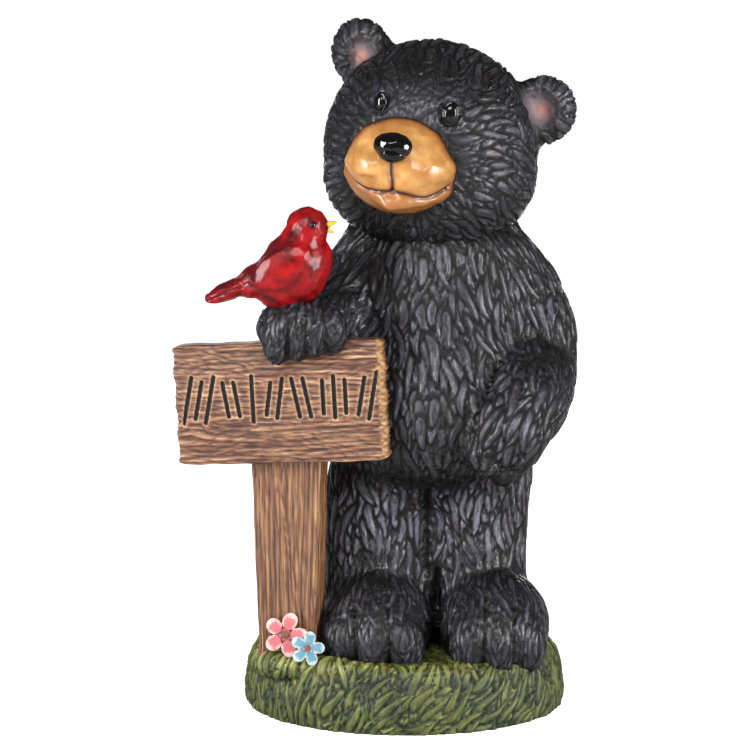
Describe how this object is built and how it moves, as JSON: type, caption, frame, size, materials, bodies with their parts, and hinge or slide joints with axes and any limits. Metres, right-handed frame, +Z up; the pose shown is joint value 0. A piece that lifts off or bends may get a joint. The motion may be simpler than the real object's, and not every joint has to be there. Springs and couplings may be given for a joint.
{
  "type": "cast resin bear statue",
  "caption": "Painted cast resin garden statue: a standing black bear rests one paw on a wooden-look sign, with a red bird on the paw and flowers at the post, on a grassy base.",
  "frame": {"origin": "middle of the base's underside", "axes": "+Z up along the bear, -Y towards the front of the statue, +X to the viewer's right"},
  "size_m": [0.2426, 0.181, 0.4166],
  "materials": {
    "coat_paint": "satin black paint, dry-brushed grey on the raised locks of fur",
    "muzzle_paint": "satin tan paint, shaded brown in the mouth line",
    "gloss_black": "gloss black on the nose and eyes",
    "ear_paint": "matt mauve grey paint with a pink middle",
    "bird_red": "gloss red paint, darker in the creases",
    "beak_yellow": "gloss yellow paint",
    "sign_brown": "satin brown paint over cast wood grain, dry-brushed tan",
    "stroke_black": "black paint in the cut strokes",
    "grass_green": "matt green paint over cast blades, dark between them",
    "pink_petal": "pale pink paint with a coral middle",
    "blue_petal": "light blue paint with white edges"
  },
  "bodies": {
    "root": {"bear_statue": "coat_paint"}
  },
  "joints": []
}
